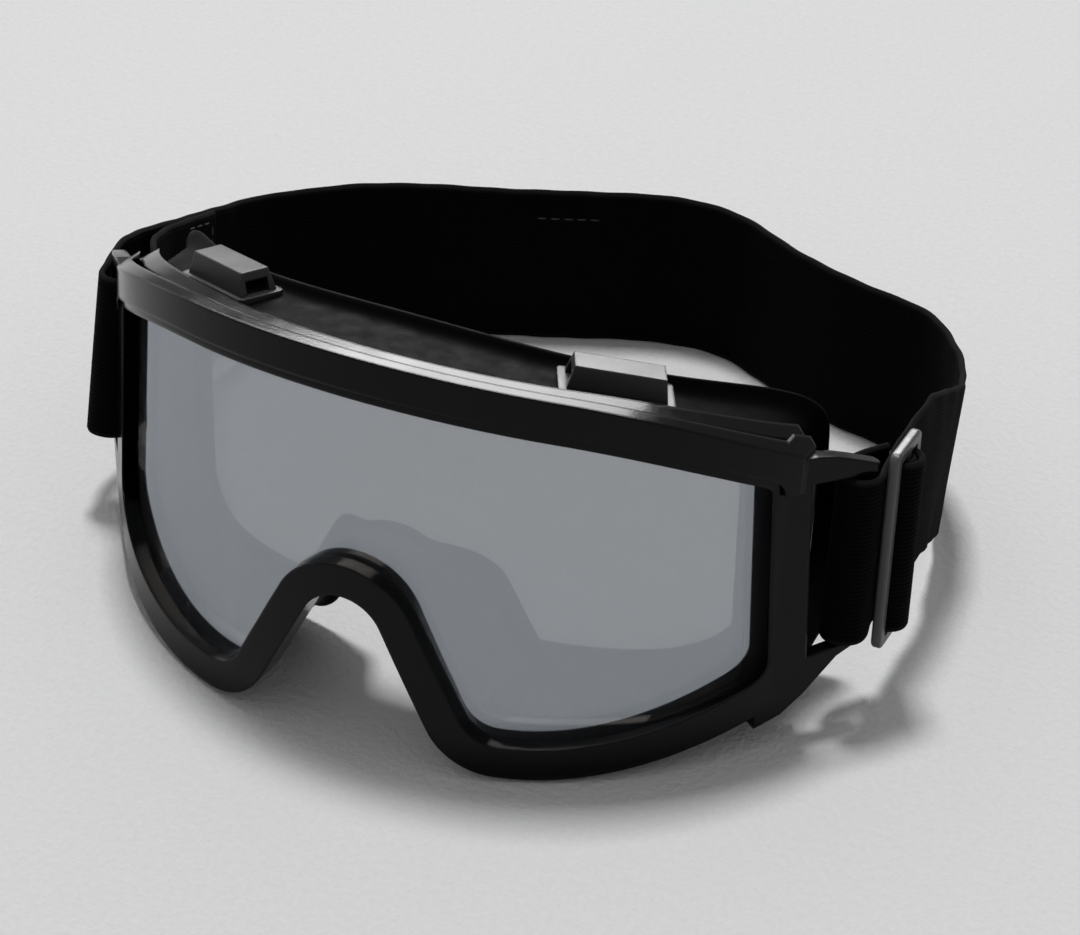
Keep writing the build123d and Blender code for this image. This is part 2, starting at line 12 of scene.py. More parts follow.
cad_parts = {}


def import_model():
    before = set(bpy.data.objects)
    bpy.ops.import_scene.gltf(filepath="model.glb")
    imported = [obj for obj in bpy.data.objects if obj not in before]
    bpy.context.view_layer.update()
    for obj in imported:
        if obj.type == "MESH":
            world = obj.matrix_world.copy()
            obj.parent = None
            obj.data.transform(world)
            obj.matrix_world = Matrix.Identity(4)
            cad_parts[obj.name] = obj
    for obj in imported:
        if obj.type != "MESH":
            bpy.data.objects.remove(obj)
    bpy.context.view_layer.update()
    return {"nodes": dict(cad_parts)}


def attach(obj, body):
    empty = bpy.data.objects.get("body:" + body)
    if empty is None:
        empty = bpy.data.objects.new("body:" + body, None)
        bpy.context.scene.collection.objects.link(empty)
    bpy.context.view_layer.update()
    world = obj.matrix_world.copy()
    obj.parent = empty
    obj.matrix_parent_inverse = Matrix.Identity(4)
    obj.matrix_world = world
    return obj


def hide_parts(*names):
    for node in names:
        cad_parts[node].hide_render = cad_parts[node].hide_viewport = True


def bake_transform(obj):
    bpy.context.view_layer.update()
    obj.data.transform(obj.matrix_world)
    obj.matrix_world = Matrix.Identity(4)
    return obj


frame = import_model()
nodes = frame["nodes"]

# ---------------------------------------------------------------- numbers shared with the CAD
MM = 0.001
ORIGIN_X = -0.45
ORIGIN_Y = -82.24
REF_HEIGHT = 41.95
LEAN = radians(5.0)
LENS_R = 87.5
RIM_BACK = 4.2
STRAP_T = 1.4
STRAP_W = 40.0
SKIRT_GROW = 2.6        # the skirt's outer wall, outside the window's outline
SKIRT_HALF = 72.4
SKIRT_BOTTOM = -33.0
WINDOW_TOP = 39.6
WINDOW_SHOULDER = (40.0, 36.7)
WINDOW_CORNER = (75.0, 23.0)
SIDE_FOOT = (76.9, -22.0)
CHEEK = (54.5, -32.8)
INNER_FOOT = (26.6, -34.5)
NOSE_R = 15.1
NOSE_TOP = -0.3
FACE_CURVE = ((0, 28.5), (18, 29.4), (34, 32.6), (48, 39.0), (60, 49.5), (68, 58.0), (76, 64.5),
              (80, 67.5))

RIGHT_TURN = ((84.95, 53.0), 4.25)
RIGHT_LIMB = ((89.2, 53.0), (88.55, 56.6), (88.0, 61.0), (87.5, 70.0), (87.1, 84.0), (86.7, 98.0),
              (86.5, 101.0))
RIGHT_RETURN = ((80.7, 53.0), (81.3, 57.0), (83.4, 61.0), (86.0, 64.6))
LEFT_TURN = ((-84.95, 50.0), 3.45)
LEFT_LIMB = ((-88.4, 50.0), (-90.0, 55.2), (-91.7, 62.5), (-93.3, 77.0), (-92.7, 91.0), (-92.6, 101.0))
LEFT_RETURN = ((-81.5, 50.0), (-80.6, 55.0), (-81.0, 59.4), (-83.6, 62.8), (-87.0, 67.6), (-89.0, 73.0),
               (-90.6, 80.0), (-91.3, 90.0), (-91.1, 101.6))
REAR_BAND = ((85.6, 112.0), (82.0, 122.6), (74.0, 137.4), (66.0, 145.6), (53.0, 150.2),
             (39.7, 153.6), (24.8, 160.0), (16.7, 164.2), (8.8, 167.4), (0.0, 168.2), (-9.7, 166.3),
             (-31.0, 157.4), (-53.0, 148.4), (-69.0, 141.3), (-82.6, 130.8), (-90.9, 119.0), (-92.1, 112.0))
RIGHT_TOP = ((40.0, 58.5), (88.0, 58.0), (100.0, 52.4), (112.0, 46.4), (122.0, 43.2), (136.0, 41.0),
             (150.0, 40.0), (180.0, 40.0))
RIGHT_BOTTOM = ((40.0, 20.5), (58.0, 20.2), (63.0, 18.4), (88.0, 18.0), (100.0, 12.4), (112.0, 6.4),
                (120.0, 3.4), (132.0, 1.0), (146.0, 0.0), (180.0, 0.0))
LEFT_TOP = ((40.0, 58.5), (56.0, 58.5), (66.0, 57.6), (80.0, 53.2), (90.0, 50.0), (102.0, 46.4),
            (112.0, 43.2), (122.0, 40.8), (132.0, 40.0), (180.0, 40.0))
LEFT_BOTTOM = ((40.0, 20.5), (56.0, 20.2), (66.0, 16.5), (80.0, 12.4), (90.0, 10.0), (102.0, 6.4),
               (112.0, 3.2), (122.0, 0.8), (132.0, 0.0), (180.0, 0.0))
SLIDER = (90.7, 62.2, 38.8)
SLIDER_TILT = radians(2.5)
SLIDER_TOE = radians(-1.4)
FOLD_R = 2.8


def world(x, y, v):
    """A point given in the rim's own axes, in the object's frame."""
    return np.array((x + ORIGIN_X, ORIGIN_Y + y * cos(LEAN) + v * sin(LEAN),
                     REF_HEIGHT - y * sin(LEAN) + v * cos(LEAN)))


# ---------------------------------------------------------------- node helpers
def new_material(name):
    """A new node material, with its tree and its main shader."""
    material = bpy.data.materials.new(name)
    material.use_nodes = True
    tree = material.node_tree
    return material, tree, tree.nodes["Principled BSDF"]


def put(tree, socket, value):
    """Link a socket to another, or set it to a constant."""
    if isinstance(value, bpy.types.NodeSocket):
        tree.links.new(value, socket)
    else:
        socket.default_value = value


def calc(tree, operation, *values):
    node = tree.nodes.new("ShaderNodeMath")
    node.operation = operation
    for socket, value in zip(node.inputs, values):
        put(tree, socket, value)
    return node.outputs[0]


def place(tree, kind="Object"):
    """Texture coordinates, in metres for Object and in millimetres for the webbing's UV map."""
    return tree.nodes.new("ShaderNodeTexCoord").outputs[kind]


def noise(tree, where, scale, detail=3.0, rough=0.55):
    node = tree.nodes.new("ShaderNodeTexNoise")
    tree.links.new(where, node.inputs["Vector"])
    node.inputs["Scale"].default_value = scale
    node.inputs["Detail"].default_value = detail
    node.inputs["Roughness"].default_value = rough
    return node.outputs["Fac"]


def ramp(tree, value, low, high, out_low, out_high):
    node = tree.nodes.new("ShaderNodeMapRange")
    put(tree, node.inputs["Value"], value)
    for name, number in (("From Min", low), ("From Max", high), ("To Min", out_low), ("To Max", out_high)):
        put(tree, node.inputs[name], number)
    return node.outputs[0]


def mixed(tree, factor, first, second):
    node = tree.nodes.new("ShaderNodeMix")
    node.data_type = "RGBA"
    put(tree, node.inputs[0], factor)
    put(tree, node.inputs[6], first)
    put(tree, node.inputs[7], second)
    return node.outputs[2]


def bumped(tree, height, distance, strength=1.0, normal=None):
    node = tree.nodes.new("ShaderNodeBump")
    put(tree, node.inputs["Height"], height)
    node.inputs["Distance"].default_value = distance
    node.inputs["Strength"].default_value = strength
    if normal is not None:
        tree.links.new(normal, node.inputs["Normal"])
    return node.outputs[0]


def rounded(tree, radius):
    """Softly rounded edges on a hard moulded piece."""
    node = tree.nodes.new("ShaderNodeBevel")
    node.samples = 4
    node.inputs["Radius"].default_value = radius
    return node.outputs[0]


def edge_wear_and_highlight(tree, soft_normal):
    """Near 1 on rounded edges and near 0 on flat faces."""
    geometry = tree.nodes.new("ShaderNodeNewGeometry")
    dot = tree.nodes.new("ShaderNodeVectorMath")
    dot.operation = "DOT_PRODUCT"
    tree.links.new(soft_normal, dot.inputs[0])
    tree.links.new(geometry.outputs["Normal"], dot.inputs[1])
    return ramp(tree, dot.outputs["Value"], 0.995, 0.8, 0.0, 1.0)


# ---------------------------------------------------------------- materials
def moulded(name, colour, worn_and_lit_edge, rough_low, rough_high, edge, grain, specular):
    """Moulded plastic: rounded edges a little lighter, partly rubbed wear and partly a painted edge
    highlight; fine grain, faint flow and dust.
    """
    material, tree, shader = new_material(name)
    where = place(tree)
    soft = rounded(tree, edge)
    # rounded edges painted lighter: partly rubbed wear, partly a painted highlight where light catches them
    wear_and_highlight = calc(tree, "MULTIPLY", edge_wear_and_highlight(tree, soft), noise(tree, where, 260.0, 4.0))
    cloud = noise(tree, where, 38.0, 3.0)
    base = mixed(tree, cloud, colour, tuple(c * 1.35 for c in colour[:3]) + (1,))
    put(tree, shader.inputs["Base Color"], mixed(tree, calc(tree, "MULTIPLY", wear_and_highlight, 0.8), base, worn_and_lit_edge))
    smear = ramp(tree, noise(tree, where, 90.0, 5.0, 0.65), 0.35, 0.7, rough_low, rough_high)
    put(tree, shader.inputs["Roughness"], smear)
    put(tree, shader.inputs["Normal"], bumped(tree, noise(tree, where, 1400.0, 2.0), grain, 0.5, soft))
    shader.inputs["Specular IOR Level"].default_value = specular
    return material


# the second colour is for the rounded edges: rubbed wear together with a painted edge highlight
rim_plastic = moulded("rim_gloss_black", (0.0014, 0.0015, 0.0016, 1), (0.012, 0.012, 0.0125, 1),
                      0.10, 0.20, 0.0009, 0.00003, 0.13)
vent_plastic = moulded("vent_satin_black", (0.018, 0.018, 0.0184, 1), (0.06, 0.06, 0.061, 1),
                       0.30, 0.46, 0.0006, 0.00004, 0.3)
slider_plastic = moulded("slider_satin_grey", (0.050, 0.052, 0.050, 1), (0.10, 0.102, 0.098, 1),
                         0.3, 0.48, 0.0005, 0.00007, 0.35)


def smoke_lens():
    """Polished smoke lens, faintly mirrored: it reflects about a quarter and lets a tenth through."""
    material, tree, shader = new_material("lens_smoke_mirror")
    output = tree.nodes["Material Output"]
    tree.nodes.remove(shader)
    where = place(tree)
    wave = bumped(tree, noise(tree, where, 16.0, 1.0), 0.00006, 0.35)
    cloud = noise(tree, where, 30.0, 3.0)
    glossy = tree.nodes.new("ShaderNodeBsdfGlossy")
    put(tree, glossy.inputs["Color"],
        mixed(tree, cloud, (0.250, 0.275, 0.302, 1), (0.268, 0.288, 0.312, 1)))
    put(tree, glossy.inputs["Roughness"], ramp(tree, noise(tree, where, 420.0, 4.0), 0.4, 0.8, 0.06, 0.13))
    tree.links.new(wave, glossy.inputs["Normal"])
    clear = tree.nodes.new("ShaderNodeBsdfTransparent")
    clear.inputs["Color"].default_value = (0.31, 0.298, 0.285, 1)
    haze = tree.nodes.new("ShaderNodeBsdfDiffuse")
    haze.inputs["Color"].default_value = (0.012, 0.012, 0.013, 1)
    inner = tree.nodes.new("ShaderNodeAddShader")
    tree.links.new(glossy.outputs[0], inner.inputs[0])
    tree.links.new(clear.outputs[0], inner.inputs[1])
    both = tree.nodes.new("ShaderNodeAddShader")
    tree.links.new(inner.outputs[0], both.inputs[0])
    tree.links.new(haze.outputs[0], both.inputs[1])
    polish = tree.nodes.new("ShaderNodeBsdfGlossy")
    polish.inputs["Color"].default_value = (0.8, 0.82, 0.85, 1)
    polish.inputs["Roughness"].default_value = 0.05
    facing = tree.nodes.new("ShaderNodeLayerWeight")
    facing.inputs["Blend"].default_value = 0.16
    rim = tree.nodes.new("ShaderNodeMixShader")
    tree.links.new(calc(tree, "MULTIPLY", facing.outputs["Fresnel"], 0.4), rim.inputs[0])
    tree.links.new(both.outputs[0], rim.inputs[1])
    tree.links.new(polish.outputs[0], rim.inputs[2])
    tree.links.new(rim.outputs[0], output.inputs["Surface"])
    return material


def soft_rubber():
    """Soft black rubber of the skirt: satin, faintly mottled, with a painted sheen that lightens it where
    it faces away.
    """
    material, tree, shader = new_material("skirt_soft_rubber")
    where = place(tree)
    cloud = noise(tree, where, 60.0, 4.0)
    base = mixed(tree, cloud, (0.0008, 0.0008, 0.0009, 1), (0.0018, 0.0018, 0.0019, 1))
    # painted sheen: the base colour turns lighter where the surface faces away from the view
    facing = tree.nodes.new("ShaderNodeLayerWeight")
    facing.inputs["Blend"].default_value = 0.3
    put(tree, shader.inputs["Base Color"],
        mixed(tree, calc(tree, "MULTIPLY", facing.outputs["Facing"], 0.3), base, (0.009, 0.009, 0.0095, 1)))
    put(tree, shader.inputs["Roughness"], ramp(tree, noise(tree, where, 240.0, 4.0), 0.3, 0.7, 0.55, 0.72))
    put(tree, shader.inputs["Normal"], bumped(tree, noise(tree, where, 900.0, 3.0), 0.00008, 0.5))
    shader.inputs["Specular IOR Level"].default_value = 0.025
    return material


RIB_PITCH = 1.0         # ribs along the webbing, and the knit that crosses them, in millimetres
KNIT_PITCH = 0.7


def ribbed_webbing():
    """Black elastic webbing: knitted ribs along its length, crossed by fine weft, with rubbed selvedges."""
    material, tree, shader = new_material("webbing_ribbed_elastic")
    where = place(tree, "UV")
    split = tree.nodes.new("ShaderNodeSeparateXYZ")
    tree.links.new(where, split.inputs[0])
    along, across = split.outputs[0], split.outputs[1]
    rib = calc(tree, "SINE", calc(tree, "MULTIPLY", across, 2 * pi / RIB_PITCH))
    row = calc(tree, "FLOOR", calc(tree, "MULTIPLY", across, 2 / RIB_PITCH))
    knit = calc(tree, "SINE", calc(tree, "ADD", calc(tree, "MULTIPLY", along, 2 * pi / KNIT_PITCH),
                                   calc(tree, "MULTIPLY", row, pi)))
    height = calc(tree, "ADD", calc(tree, "MULTIPLY", rib, 0.65), calc(tree, "MULTIPLY", knit, 0.3))
    fuzz = noise(tree, where, 2.6, 4.0, 0.7)
    height = calc(tree, "ADD", height, calc(tree, "MULTIPLY", fuzz, 0.5))
    cloud = noise(tree, where, 0.11, 3.0)
    base = mixed(tree, cloud, (0.0006, 0.00065, 0.0006, 1), (0.0015, 0.0016, 0.0015, 1))
    # painted light and shade: the rib crests are lighter and the grooves between them stay darker
    painted_crest_light = ramp(tree, height, 0.3, 1.3, 0.0, 0.5)
    base = mixed(tree, painted_crest_light, base, (0.0042, 0.0045, 0.0043, 1))
    edge = ramp(tree, calc(tree, "ABSOLUTE", calc(tree, "SUBTRACT", across, STRAP_W / 2)),
                18.4, 19.6, 0.0, 0.75)
    put(tree, shader.inputs["Base Color"], mixed(tree, edge, base, (0.010, 0.0105, 0.010, 1)))
    put(tree, shader.inputs["Roughness"], ramp(tree, fuzz, 0.3, 0.7, 0.74, 0.95))
    put(tree, shader.inputs["Normal"], bumped(tree, height, 0.00012, 0.9))
    shader.inputs["Specular IOR Level"].default_value = 0.03
    shader.inputs["Sheen Weight"].default_value = 0.006
    shader.inputs["Sheen Roughness"].default_value = 0.5
    return material


def thread_material():
    """Black polyester sewing thread with a visible twist."""
    material, tree, shader = new_material("thread_black")
    where = place(tree)
    twist = noise(tree, where, 3200.0, 2.0)
    put(tree, shader.inputs["Base Color"],
        mixed(tree, twist, (0.010, 0.010, 0.010, 1), (0.040, 0.041, 0.040, 1)))
    put(tree, shader.inputs["Roughness"], ramp(tree, twist, 0.3, 0.7, 0.45, 0.7))
    put(tree, shader.inputs["Normal"], bumped(tree, twist, 0.0001, 0.6))
    return material


def pale_floor():
    """Pale studio paper with a very fine grain."""
    material, tree, shader = new_material("floor_pale_paper")
    where = place(tree)
    grain = noise(tree, where, 620.0, 3.0, 0.6)
    broad = noise(tree, where, 5.0, 2.0)
    tone = calc(tree, "ADD", calc(tree, "MULTIPLY", grain, 0.75), calc(tree, "MULTIPLY", broad, 0.2))
    put(tree, shader.inputs["Base Color"],
        mixed(tree, tone, (0.68, 0.68, 0.687, 1), (0.80, 0.80, 0.805, 1)))
    shader.inputs["Roughness"].default_value = 0.9
    shader.inputs["Specular IOR Level"].default_value = 0.1
    put(tree, shader.inputs["Normal"], bumped(tree, grain, 0.0008, 0.6))
    return material


lens_finish = smoke_lens()
rubber = soft_rubber()
webbing_finish = ribbed_webbing()
thread = thread_material()

finishes = {"front_frame": rim_plastic, "lens": lens_finish, "strap_slider": slider_plastic}
finishes.update({node_name: vent_plastic for node_name in nodes if node_name.startswith("vent_")})
for node_name, finish in finishes.items():
    for material_slot in nodes[node_name].material_slots:
        material_slot.material = finish


# ---------------------------------------------------------------- mesh helpers
def make_object(name, points, faces, finish, uv=None):
    """A smooth-shaded mesh from points in millimetres, with its finish."""
    mesh = bpy.data.meshes.new(name)
    mesh.from_pydata([tuple(float(c) * MM for c in p) for p in points], [], faces)
    mesh.materials.append(finish)
    if uv is not None:
        layer = mesh.uv_layers.new(name="UVMap")
        flat = np.array([uv[i] for face in faces for i in face], np.float32).ravel()
        layer.data.foreach_set("uv", flat)
    mesh.polygons.foreach_set("use_smooth", [True] * len(mesh.polygons))
    mesh.update()
    piece = bpy.data.objects.new(name, mesh)
    bpy.context.scene.collection.objects.link(piece)
    return piece


def curve_through(points, step=0.8, leave=None):
    """Points at an even spacing on a natural cubic spline through the given points."""
    points = np.array(points, float)
    knots = length_along(points)
    gaps = np.diff(knots)
    count = len(points)
    matrix = np.zeros((count, count))
    right = np.zeros((count, points.shape[1]))
    matrix[0, 0] = matrix[-1, -1] = 1.0
    if leave is not None:
        matrix[0, 0], matrix[0, 1] = 2 * gaps[0], gaps[0]
        right[0] = 6 * ((points[1] - points[0]) / gaps[0] - np.array(leave))
    for i in range(1, count - 1):
        matrix[i, i - 1:i + 2] = gaps[i - 1], 2 * (gaps[i - 1] + gaps[i]), gaps[i]
        right[i] = 6 * ((points[i + 1] - points[i]) / gaps[i] - (points[i] - points[i - 1]) / gaps[i - 1])
    bend = np.linalg.solve(matrix, right)
    places = np.linspace(0, knots[-1], max(int(knots[-1] / step), 2) + 1)
    result = []
    for t in places:
        i = min(int(np.searchsorted(knots, t, "right")) - 1, count - 2)
        h, a, b = gaps[i], knots[i + 1] - t, t - knots[i]
        result.append((bend[i] * a ** 3 + bend[i + 1] * b ** 3) / (6 * h)
                      + (points[i] / h - bend[i] * h / 6) * a
                      + (points[i + 1] / h - bend[i + 1] * h / 6) * b)
    return np.array(result)


def turned(centre, radius, start, end, count):
    """Points round an arc, between two angles."""
    return [(centre[0] + radius * cos(a), centre[1] + radius * sin(a))
            for a in np.linspace(start, end, count)]


def arc_points(centre, radius, start, end, step=0.5):
    """The same, at about one spacing."""
    return turned(centre, radius, start, end, max(int(abs(end - start) * radius / step), 6) + 1)


def level(profile, y):
    """Height of one edge of the webbing at a distance to the rear."""
    return float(np.interp(y, [p[0] for p in profile], [p[1] for p in profile]))


def leaning_station(x, y, top, bottom):
    """Lower and upper edge of the webbing at a plan point in the rim's own axes."""
    ends = []
    for profile in (bottom, top):
        v = 0.0
        for _ in range(12):
            height = level(profile, y * cos(LEAN) + v * sin(LEAN))
            v = (height - REF_HEIGHT + y * sin(LEAN)) / cos(LEAN)
        ends.append(world(x, y, v))
    return ends


def upright_station(x, y, top, bottom):
    """The same, for a plan point given level with the floor."""
    return [np.array((x + ORIGIN_X, y + ORIGIN_Y, level(profile, y))) for profile in (bottom, top)]


def ease(low, high, value):
    """0 up to low, 1 from high, and a smooth rise between them."""
    t = min(max((value - low) / (high - low), 0.0), 1.0)
    return t * t * (3 - 2 * t)


def length_along(points):
    """Distance along a line of points, from its first one."""
    return np.concatenate(([0], np.cumsum(np.linalg.norm(np.diff(points, axis=0), axis=1))))


def even_stations(rough, step):
    """The same strip with stations at an even spacing, its bends eased a little."""
    rough = np.array(rough)
    both = np.concatenate((rough[:, 0], rough[:, 1]), axis=1)
    along = length_along((rough[:, 0] + rough[:, 1]) / 2)
    places = np.arange(0, along[-1], step)
    table = np.array([np.interp(places, along, both[:, k]) for k in range(6)]).T
    kernel = np.array((1, 2, 3, 2, 1)) / 9.0
    smooth = table.copy()
    for k in range(6):
        padded = np.concatenate(([table[0, k]] * 2, table[:, k], [table[-1, k]] * 2))
        smooth[:, k] = np.convolve(padded, kernel, "valid")
    return [(row[:3], row[3:]) for row in smooth]


def between(along, rows, at):
    """A row of three numbers read between the rows of a table."""
    return np.array([np.interp(at, along, rows[:, k]) for k in range(3)])


class Band:
    """A strip of webbing given by its lower and upper edge at each station along it."""

    def __init__(self, stations, thickness=STRAP_T, ripple=0.12, seed=0.0):
        self.low = np.array([s[0] for s in stations])
        self.high = np.array([s[1] for s in stations])
        self.thickness = thickness
        middle = (self.low + self.high) / 2
        self.along = length_along(middle)
        self.ripple = ripple
        self.seed = seed

    def frame_at(self, share):
        """Points and outward normals at one share of the height, for every station."""
        points = self.low + (self.high - self.low) * share
        ahead = np.gradient(points, axis=0)
        ahead /= np.linalg.norm(ahead, axis=1)[:, None]
        up = self.high - self.low
        up /= np.linalg.norm(up, axis=1)[:, None]
        out = np.cross(ahead, up)
        out /= np.linalg.norm(out, axis=1)[:, None]
        wave = np.sin(self.along * 0.42 + self.seed + 2.2 * share)
        wave *= np.sin(self.along * 0.17 + 1.3 * self.seed)
        rise = abs(2 * share - 1) ** 2 * self.ripple
        return points + out * (wave * rise)[:, None], out

    def mesh(self, name, rows=26):
        """The webbing as a closed mesh with rounded selvedges, and UVs in millimetres."""
        section = []
        half = self.thickness / 2
        width = float(np.mean(np.linalg.norm(self.high - self.low, axis=1)))
        crown = half / width
        for turn in np.linspace(-pi / 2, pi / 2, 5):
            section.append((1 - crown + crown * cos(turn), half * sin(turn)))
        for share in np.linspace(1 - crown, crown, rows)[1:-1]:
            section.append((share, half))
        for turn in np.linspace(pi / 2, 3 * pi / 2, 5):
            section.append((crown + crown * cos(turn), half * sin(turn)))
        for share in np.linspace(crown, 1 - crown, rows)[1:-1]:
            section.append((share, -half))
        columns = []
        for share, offset in section:
            points, out = self.frame_at(min(max(share, 0.0), 1.0))
            columns.append(points + out * offset)
        grid = np.array(columns)
        ring, stations = len(section), len(self.low)
        points = [grid[j, i] for i in range(stations) for j in range(ring)]
        uv = [(self.along[i], section[j][0] * STRAP_W) for i in range(stations) for j in range(ring)]
        faces = []
        for i in range(stations - 1):
            for j in range(ring):
                k = (j + 1) % ring
                faces.append((i * ring + j, i * ring + k, (i + 1) * ring + k, (i + 1) * ring + j))
        faces.append(tuple(reversed(range(ring))))
        faces.append(tuple((stations - 1) * ring + j for j in range(ring)))
        return make_object(name, points, faces, webbing_finish, uv)

    def spot(self, distance, share, side):
        """A point on one face, with the direction out of that face."""
        points, out = self.frame_at(share)
        where = between(self.along, points, distance)
        normal = between(self.along, out, distance) * side
        return where + normal * self.thickness / 2, normal


def stitches(name, runs, length=2.3, gap=0.8, radius=0.24):
    """Sewn lines: each run is a list of (point, normal) along the seam."""
    points, faces = [], []
    for run in runs:
        places = np.array([p for p, _ in run])
        normals = np.array([n for _, n in run])
        along = length_along(places)
        start = 0.0
        while start + length <= along[-1]:
            rings = []
            for share in (0.0, 0.18, 0.5, 0.82, 1.0):
                at = start + length * share
                centre = between(along, places, at)
                normal = between(along, normals, at)
                ahead = between(along, places, at + 0.1) - between(along, places, at - 0.1)
                ahead /= max(np.linalg.norm(ahead), 1e-9)
                side = np.cross(ahead, normal)
                swell = sqrt(max(1 - (2 * share - 1) ** 2, 0.05))
                ring = []
                for k in range(6):
                    turn = 2 * pi * k / 6
                    ring.append(centre + normal * (radius * swell * (0.25 + sin(turn)) - radius * 0.1)
                                + side * radius * swell * cos(turn))
                rings.append(ring)
            first = len(points)
            for ring in rings:
                points.extend(ring)
            for i in range(4):
                for k in range(6):
                    a, b = first + i * 6 + k, first + i * 6 + (k + 1) % 6
                    faces.append((a, b, b + 6, a + 6))
            faces.append(tuple(first + k for k in reversed(range(6))))
            faces.append(tuple(first + 24 + k for k in range(6)))
            start += length + gap
    return make_object(name, points, faces, thread)


def seam(band, start, end, low, high, side):
    """A straight sewn line on one face of a band, from one place to another."""
    run = []
    for t in np.linspace(0, 1, 24):
        where, normal = band.spot(start + (end - start) * t, low + (high - low) * t, side)
        run.append((where, normal))
    return run


# ---------------------------------------------------------------- the long strap, in one length
RIGHT_LEAN_IN = 3.2
LEFT_FLARE = 2.2
LEFT_FORWARD = 1.6
BOX_LENGTH = 9.9                    # sewn boxes, and the share of the width between their long sides
BOX_LOW = 0.06
BOX_HIGH = 0.94
BOX_Y = 18.0
LINING_X = (-36.6, -22.4)
LINING_SHARE = 0.82

stations = []
for x, y in arc_points(*RIGHT_TURN, -pi, 0)[:-1]:
    stations.append(leaning_station(x, y, RIGHT_TOP, RIGHT_BOTTOM))
for x, y in curve_through(RIGHT_LIMB, 1.0, (0, 1)):
    stations.append(leaning_station(x, y, RIGHT_TOP, RIGHT_BOTTOM))
for x, y in curve_through(REAR_BAND, 1.0):
    side = (RIGHT_TOP, RIGHT_BOTTOM) if x > 0 else (LEFT_TOP, LEFT_BOTTOM)
    stations.append(upright_station(x, y, *side))
band_end = len(stations)
left_plan = list(reversed([tuple(p) for p in curve_through(LEFT_LIMB, 1.0, (0, 1))]))
left_turn = arc_points(*LEFT_TURN, pi, 2 * pi)
left_back = [tuple(p) for p in curve_through(LEFT_RETURN, 1.0, (0, 1))]
for x, y in left_plan + left_turn[1:-1] + left_back:
    stations.append(leaning_station(x, y, LEFT_TOP, LEFT_BOTTOM))

# the lower edge leans in on the right and flares out round the left end bar
for number, (low, high) in enumerate(stations):
    y = low[1] - ORIGIN_Y
    if low[0] > 40:
        low[0] -= RIGHT_LEAN_IN * ease(86, 112, y) * (1 - ease(116, 140, y))
    elif low[0] < -40 and number >= band_end:
        flare = 1 - ease(52, 74, y)
        low[0] -= LEFT_FLARE * flare * (1 if low[0] < -84.5 else 0.4)
        low[1] -= LEFT_FORWARD * flare
strap = Band(even_stations(stations, 0.8), ripple=0.22, seed=0.7)
strap_piece = strap.mesh("strap_long_webbing")
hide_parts("strap_right_limb", "strap_left_limb", "strap_left_return", "strap_rear_band")
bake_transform(strap_piece)


def sewn_box(name, start):
    """A box of stitches across the webbing on its outer face, from one place along the strap."""
    end = start + BOX_LENGTH
    runs = [seam(strap, at, at, BOX_LOW, BOX_HIGH, 1) for at in (start, end)]
    runs += [seam(strap, start, end, share, share, 1) for share in (BOX_LOW, BOX_HIGH)]
    box = stitches(name, runs)
    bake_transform(box)


# the left end is sewn back to the limb: one box on the end itself and one outside, where the seam shows
sewn_box("left_sewn_box_inner", strap.along[-1] - BOX_LENGTH - 1.6)
outside = [i for i in range(len(strap.low)) if strap.low[i][0] < -88.0]
outside = outside[:len(outside) // 2]
sewn_box("left_sewn_box_outer", strap.along[outside[int(np.argmin(np.abs(strap.low[outside, 1] - BOX_Y)))]])

# a short sewn line on the inner face of the rear band
behind = np.where(strap.low[:, 1] > 60.0)[0]
start, end = sorted(strap.along[behind[int(np.argmin(np.abs(strap.low[behind, 0] - x)))]] for x in LINING_X)
lining = stitches("rear_lining_stitches", [seam(strap, start, end, LINING_SHARE, LINING_SHARE, -1)])
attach(lining, "rear_band")

# ---------------------------------------------------------------- webbing round the slider
short = [leaning_station(x, y, RIGHT_TOP, RIGHT_BOTTOM)
         for x, y in curve_through(RIGHT_RETURN, 0.7, (0, 1))]
return_band = Band(short, ripple=0.05, seed=2.0)
return_piece = return_band.mesh("strap_return_webbing")
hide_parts("strap_right_return")
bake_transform(return_piece)

down = np.array((sin(SLIDER_TOE), cos(SLIDER_TILT), -sin(SLIDER_TILT)))
down /= np.linalg.norm(down)
slider_out = np.array((1.0, -down[0], 0.0))
slider_out /= np.linalg.norm(slider_out)
slider_up = np.cross(slider_out, down)
slider_up /= np.linalg.norm(slider_up)
slider_middle = np.array((ORIGIN_X + SLIDER[0], ORIGIN_Y + SLIDER[1], SLIDER[2]))


def slider_point(along, out, up):
    """A point given along, out of and up the slider's frame."""
    return slider_middle + down * along + slider_out * out + slider_up * up


def slider_band(plan, low, high):
    """Stations of webbing that follow a plan drawn in the slider's frame."""
    return [(slider_point(a, o, low), slider_point(a, o, high)) for a, o in plan]


fold_plan = arc_points((0, 0), FOLD_R + STRAP_T / 2, pi, 0, 0.4)
fold_plan = [(-a, o) for a, o in fold_plan]
fold_band = Band(slider_band(fold_plan, -20.0, 20.0), ripple=0.04, seed=1.0)
fold_piece = fold_band.mesh("strap_slider_fold")
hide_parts("strap_fold")
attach(fold_piece, "slider")

wrap_plan = [(-2.0, -0.75)] + arc_points((0, 0), 1.95, pi * 1.12, -pi * 0.12, 0.35) + [(2.0, -0.75)]
wrap_band = Band(slider_band(wrap_plan, -19.6, 19.6), thickness=1.1, ripple=0.02, seed=3.0)
wrap_piece = wrap_band.mesh("strap_sewn_end")
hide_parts("strap_end_wrap")
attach(wrap_piece, "slider")


